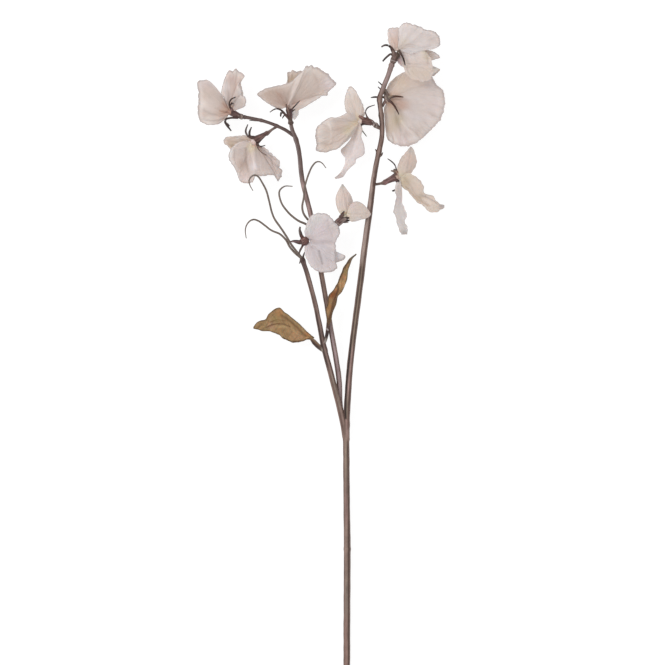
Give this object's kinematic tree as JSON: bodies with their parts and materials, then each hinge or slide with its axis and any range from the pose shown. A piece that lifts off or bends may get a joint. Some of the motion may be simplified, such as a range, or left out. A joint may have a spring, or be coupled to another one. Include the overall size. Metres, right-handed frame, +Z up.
{
  "type": "sweet pea flower spray",
  "caption": "Cut sweet pea spray with a forked stem, cream ruffled blooms on short stalks, curling tendrils and golden leaves, lying on its side.",
  "frame": {"origin": "on the surface the spray lies on, under the middle of its box", "axes": "+Y along the stem from the cut end to the blooms, +Z up from the surface, +X to the right seen from above"},
  "size_m": [0.2476, 0.659, 0.0461],
  "materials": {
    "stem": "matt grey brown, ribbed lengthwise",
    "petal": "thin matt cloth, cream with a peach heart",
    "pale_petal": "thin matt cloth, cool cream",
    "calyx": "matt dark brown",
    "tendril": "matt brown",
    "leaf": "matt cloth, golden olive brown with dark edges",
    "leaf_stalk": "matt dark brown"
  },
  "bodies": {
    "root": {"stem": "stem", "bloom_1_petals": "petal", "bloom_1_calyx": "calyx", "bloom_2_petals": "petal", "bloom_2_calyx": "calyx", "bloom_3_petals": "petal", "bloom_3_calyx": "calyx", "bloom_4_petals": "petal", "bloom_4_calyx": "calyx", "bloom_5_petals": "petal", "bloom_5_calyx": "calyx", "bloom_6_petals": "petal", "bloom_6_calyx": "calyx", "bloom_7_petals": "petal", "bloom_7_calyx": "calyx", "bloom_8_petals": "petal", "bloom_8_calyx": "calyx", "bloom_9_petals": "pale_petal", "bloom_9_calyx": "calyx", "tendril_1": "tendril", "tendril_2": "tendril", "tendril_3": "tendril", "tendril_4": "tendril", "leaf_1_blade": "leaf", "leaf_1_stalk": "leaf_stalk", "leaf_2_blade": "leaf", "leaf_2_stalk": "leaf_stalk"}
  },
  "joints": []
}
